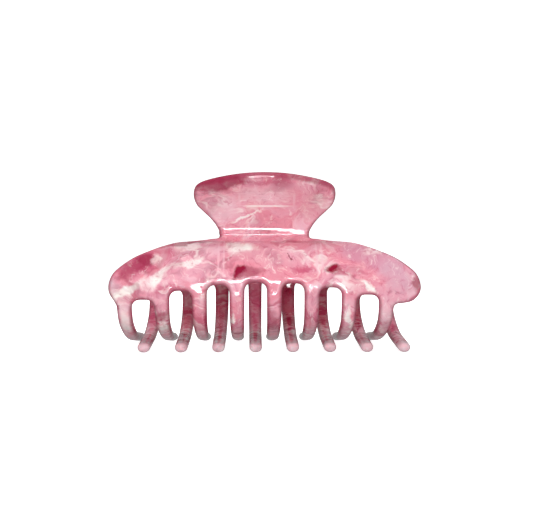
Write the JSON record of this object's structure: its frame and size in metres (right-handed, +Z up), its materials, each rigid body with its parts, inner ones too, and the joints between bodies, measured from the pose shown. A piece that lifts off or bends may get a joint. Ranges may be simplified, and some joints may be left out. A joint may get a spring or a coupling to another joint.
{
  "type": "claw clip",
  "caption": "Sprung hair claw clip: two curved combs of marbled acetate sheet with thumb handles, hinged on a pin so their interleaved teeth grip the hair.",
  "frame": {"origin": "middle of the clip in plan, at the level of the undersides of the teeth it stands on", "axes": "+X along the hinge and the length of the clip, +Y from the front jaw to the rear jaw, +Z up towards the thumb handles"},
  "size_m": [0.1042, 0.044, 0.0611],
  "materials": {
    "jaw_acetate": "polished translucent acetate, pink with cream clouds and dark crimson veins",
    "lug_acetate": "the same acetate, sawn and polished",
    "pin_steel": "nickel plated steel",
    "spring_steel": "drawn spring wire"
  },
  "bodies": {
    "front_jaw": {"front_jaw": "jaw_acetate", "front_hinge_lug_left": "lug_acetate", "front_hinge_lug_right": "lug_acetate", "hinge_pin": "pin_steel", "torsion_spring": "spring_steel"},
    "rear_jaw": {"rear_jaw": "jaw_acetate", "rear_hinge_lug_left": "lug_acetate", "rear_hinge_lug_right": "lug_acetate"}
  },
  "joints": [
    {"name": "jaw_hinge", "type": "hinge", "parent": "front_jaw", "child": "rear_jaw", "pos_m": [0, 0, 0.0407], "axis": [1, 0, 0], "range_deg": [0, 75], "stiffness_Nm_per_rad": 0.15, "springref_deg": -57.3, "deforming": ["torsion_spring"]}
  ]
}
